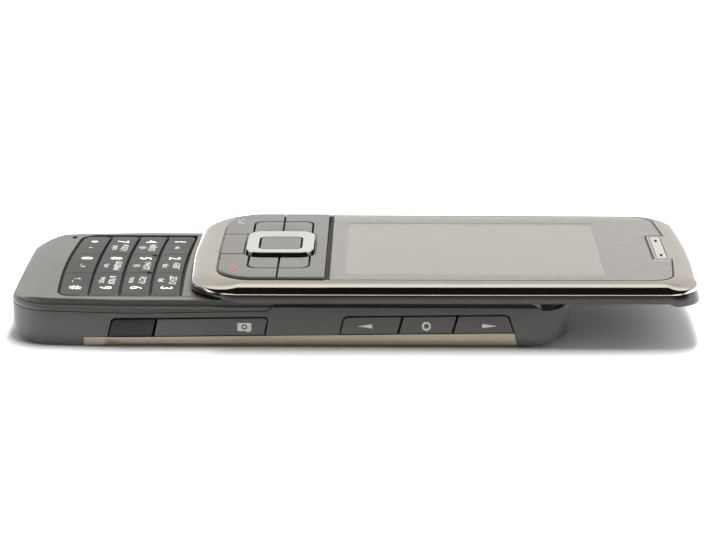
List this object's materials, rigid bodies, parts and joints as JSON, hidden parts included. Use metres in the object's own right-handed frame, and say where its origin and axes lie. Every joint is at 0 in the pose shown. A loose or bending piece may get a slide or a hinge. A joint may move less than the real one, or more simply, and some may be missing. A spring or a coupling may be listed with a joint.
{
  "type": "slider phone",
  "caption": "Slider phone shown open: a metal-rimmed screen half with navigation keys slides along a lower half with a number keypad, side keys and a metal battery cover.",
  "frame": {"origin": "middle of the flat back face of the lower half", "axes": "+X to the phone's right side (side keys), +Y towards the earpiece end along the slide, +Z out of the screen; stored with the slide open"},
  "size_m": [0.0494, 0.1347, 0.0144],
  "materials": {
    "housing_plastic": "satin dark grey moulded plastic",
    "cover_plastic": "satin grey lacquered plastic",
    "battery_cover_metal": "champagne-grey anodised steel sheet",
    "number_key_plastic": "grey lacquered keys",
    "side_key_plastic": "satin grey plastic",
    "infrared_plastic": "dark infrared-clear plastic",
    "chrome_trim": "polished chrome plating, slightly warm",
    "shell_plastic": "dark gloss plastic",
    "upper_key_plastic": "silver-grey lacquered keys under a hard coat",
    "window_glass": "hard-coated clear window, printed grey behind its edge",
    "display_panel": "unlit reflective display",
    "grille_metal": "bright silver grille",
    "black_silicone": "black silicone",
    "steel_sheet": "stamped steel",
    "circuit_board": "green solder mask",
    "flex_film": "amber polyimide film",
    "black_plastic": "black moulded plastic",
    "motor_metal": "nickel-plated can",
    "battery_case": "plain grey sleeve",
    "lens_glass": "dark tinted lens cover"
  },
  "bodies": {
    "base": {"lower_housing": "housing_plastic", "front_cover": "cover_plastic", "infrared_window": "infrared_plastic", "edge_switches": "black_plastic", "slide_rails": "steel_sheet", "slide_spring": "steel_sheet", "slide_flex": "flex_film", "main_board": "circuit_board", "board_shields": "steel_sheet", "keypad_mat": "black_silicone", "camera_module": "black_plastic", "camera_window": "lens_glass", "battery": "battery_case", "loudspeaker": "black_plastic", "vibration_motor": "motor_metal", "charger_jack": "black_plastic", "headset_jack": "black_plastic", "sim_holder": "steel_sheet", "antenna": "black_plastic", "housing_screws": "steel_sheet"},
    "slide": {"upper_frame": "chrome_trim", "slide_back_cover": "shell_plastic", "slider_plate": "steel_sheet", "display_window": "window_glass", "display_module": "display_panel", "earpiece_grille": "grille_metal", "earpiece_speaker": "black_plastic", "front_camera": "black_plastic", "slide_board": "circuit_board", "upper_key_mat": "black_silicone"},
    "key_star": {"key_star": "number_key_plastic"},
    "key_0": {"key_0": "number_key_plastic"},
    "key_hash": {"key_hash": "number_key_plastic"},
    "key_7": {"key_7": "number_key_plastic"},
    "key_8": {"key_8": "number_key_plastic"},
    "key_9": {"key_9": "number_key_plastic"},
    "key_4": {"key_4": "number_key_plastic"},
    "key_5": {"key_5": "number_key_plastic"},
    "key_6": {"key_6": "number_key_plastic"},
    "key_1": {"key_1": "number_key_plastic"},
    "key_2": {"key_2": "number_key_plastic"},
    "key_3": {"key_3": "number_key_plastic"},
    "camera_key": {"camera_key": "side_key_plastic"},
    "volume_down_key": {"volume_down_key": "side_key_plastic"},
    "voice_key": {"voice_key": "side_key_plastic"},
    "volume_up_key": {"volume_up_key": "side_key_plastic"},
    "call_key": {"call_key": "upper_key_plastic"},
    "end_key": {"end_key": "upper_key_plastic"},
    "clear_key": {"clear_key": "upper_key_plastic"},
    "shortcut_lower_left": {"shortcut_lower_left": "upper_key_plastic"},
    "shortcut_upper_left": {"shortcut_upper_left": "upper_key_plastic"},
    "shortcut_lower_right": {"shortcut_lower_right": "upper_key_plastic"},
    "shortcut_upper_right": {"shortcut_upper_right": "upper_key_plastic"},
    "power_key": {"power_key": "side_key_plastic"},
    "battery_cover": {"battery_cover": "battery_cover_metal"},
    "cover_release_button": {"cover_release_button": "side_key_plastic"},
    "soft_key_rocker": {"soft_key_rocker": "upper_key_plastic"},
    "navi_plate": {"navi_plate": "black_plastic"},
    "navi_ring": {"navi_ring": "chrome_trim"},
    "select_key": {"select_key": "upper_key_plastic"}
  },
  "joints": [
    {"name": "slide_open_close", "type": "slide", "parent": "base", "child": "slide", "axis": [0, 1, 0], "range_m": [-0.0255, 0], "deforming": ["slide_spring", "slide_flex"]},
    {"name": "key_star_press", "type": "slide", "parent": "base", "child": "key_star", "axis": [0, 0, -1], "range_m": [0, 0.0003], "stiffness_N_per_m": 60, "springref_m": -0.0004},
    {"name": "key_0_press", "type": "slide", "parent": "base", "child": "key_0", "axis": [0, 0, -1], "range_m": [0, 0.0003], "stiffness_N_per_m": 60, "springref_m": -0.0004},
    {"name": "key_hash_press", "type": "slide", "parent": "base", "child": "key_hash", "axis": [0, 0, -1], "range_m": [0, 0.0003], "stiffness_N_per_m": 60, "springref_m": -0.0004},
    {"name": "key_7_press", "type": "slide", "parent": "base", "child": "key_7", "axis": [0, 0, -1], "range_m": [0, 0.0003], "stiffness_N_per_m": 60, "springref_m": -0.0004},
    {"name": "key_8_press", "type": "slide", "parent": "base", "child": "key_8", "axis": [0, 0, -1], "range_m": [0, 0.0003], "stiffness_N_per_m": 60, "springref_m": -0.0004},
    {"name": "key_9_press", "type": "slide", "parent": "base", "child": "key_9", "axis": [0, 0, -1], "range_m": [0, 0.0003], "stiffness_N_per_m": 60, "springref_m": -0.0004},
    {"name": "key_4_press", "type": "slide", "parent": "base", "child": "key_4", "axis": [0, 0, -1], "range_m": [0, 0.0003], "stiffness_N_per_m": 60, "springref_m": -0.0004},
    {"name": "key_5_press", "type": "slide", "parent": "base", "child": "key_5", "axis": [0, 0, -1], "range_m": [0, 0.0003], "stiffness_N_per_m": 60, "springref_m": -0.0004},
    {"name": "key_6_press", "type": "slide", "parent": "base", "child": "key_6", "axis": [0, 0, -1], "range_m": [0, 0.0003], "stiffness_N_per_m": 60, "springref_m": -0.0004},
    {"name": "key_1_press", "type": "slide", "parent": "base", "child": "key_1", "axis": [0, 0, -1], "range_m": [0, 0.0003], "stiffness_N_per_m": 60, "springref_m": -0.0004},
    {"name": "key_2_press", "type": "slide", "parent": "base", "child": "key_2", "axis": [0, 0, -1], "range_m": [0, 0.0003], "stiffness_N_per_m": 60, "springref_m": -0.0004},
    {"name": "key_3_press", "type": "slide", "parent": "base", "child": "key_3", "axis": [0, 0, -1], "range_m": [0, 0.0003], "stiffness_N_per_m": 60, "springref_m": -0.0004},
    {"name": "camera_key_press", "type": "slide", "parent": "base", "child": "camera_key", "axis": [-1, 0, 0], "range_m": [0, 0.0003], "stiffness_N_per_m": 60, "springref_m": -0.0004},
    {"name": "volume_down_key_press", "type": "slide", "parent": "base", "child": "volume_down_key", "axis": [-1, 0, 0], "range_m": [0, 0.0003], "stiffness_N_per_m": 60, "springref_m": -0.0004},
    {"name": "voice_key_press", "type": "slide", "parent": "base", "child": "voice_key", "axis": [-1, 0, 0], "range_m": [0, 0.0003], "stiffness_N_per_m": 60, "springref_m": -0.0004},
    {"name": "volume_up_key_press", "type": "slide", "parent": "base", "child": "volume_up_key", "axis": [-1, 0, 0], "range_m": [0, 0.0003], "stiffness_N_per_m": 60, "springref_m": -0.0004},
    {"name": "power_key_press", "type": "slide", "parent": "base", "child": "power_key", "axis": [0, -1, 0], "range_m": [0, 0.0003], "stiffness_N_per_m": 60, "springref_m": -0.0004},
    {"name": "cover_release_button_press", "type": "slide", "parent": "base", "child": "cover_release_button", "axis": [0, 0, 1], "range_m": [0, 0.0005], "stiffness_N_per_m": 60, "springref_m": -0.0004},
    {"name": "call_key_press", "type": "slide", "parent": "slide", "child": "call_key", "axis": [0, 0, -1], "range_m": [0, 0.00025], "stiffness_N_per_m": 60, "springref_m": -0.0004},
    {"name": "end_key_press", "type": "slide", "parent": "slide", "child": "end_key", "axis": [0, 0, -1], "range_m": [0, 0.00025], "stiffness_N_per_m": 60, "springref_m": -0.0004},
    {"name": "clear_key_press", "type": "slide", "parent": "slide", "child": "clear_key", "axis": [0, 0, -1], "range_m": [0, 0.00025], "stiffness_N_per_m": 60, "springref_m": -0.0004},
    {"name": "shortcut_lower_left_press", "type": "slide", "parent": "slide", "child": "shortcut_lower_left", "axis": [0, 0, -1], "range_m": [0, 0.00025], "stiffness_N_per_m": 60, "springref_m": -0.0004},
    {"name": "shortcut_upper_left_press", "type": "slide", "parent": "slide", "child": "shortcut_upper_left", "axis": [0, 0, -1], "range_m": [0, 0.00025], "stiffness_N_per_m": 60, "springref_m": -0.0004},
    {"name": "shortcut_lower_right_press", "type": "slide", "parent": "slide", "child": "shortcut_lower_right", "axis": [0, 0, -1], "range_m": [0, 0.00025], "stiffness_N_per_m": 60, "springref_m": -0.0004},
    {"name": "shortcut_upper_right_press", "type": "slide", "parent": "slide", "child": "shortcut_upper_right", "axis": [0, 0, -1], "range_m": [0, 0.00025], "stiffness_N_per_m": 60, "springref_m": -0.0004},
    {"name": "select_key_press", "type": "slide", "parent": "slide", "child": "select_key", "axis": [0, 0, -1], "range_m": [0, 0.00025], "stiffness_N_per_m": 60, "springref_m": -0.0004},
    {"name": "soft_key_rock", "type": "hinge", "parent": "slide", "child": "soft_key_rocker", "pos_m": [0, 0.0021, 0.012], "axis": [0, 1, 0], "range_deg": [-0.5, 0.5], "stiffness_Nm_per_rad": 0.05},
    {"name": "navi_rock_left_right", "type": "hinge", "parent": "slide", "child": "navi_plate", "pos_m": [0, -0.0027, 0.0122], "axis": [0, 1, 0], "range_deg": [-1.5, 1.5], "stiffness_Nm_per_rad": 0.02},
    {"name": "navi_rock_up_down", "type": "hinge", "parent": "navi_plate", "child": "navi_ring", "pos_m": [0, -0.0027, 0.0125], "axis": [1, 0, 0], "range_deg": [-1.5, 1.5], "stiffness_Nm_per_rad": 0.02},
    {"name": "battery_cover_lift", "type": "slide", "parent": "base", "child": "battery_cover", "axis": [0, 0, -1], "range_m": [0, 0.006]}
  ]
}
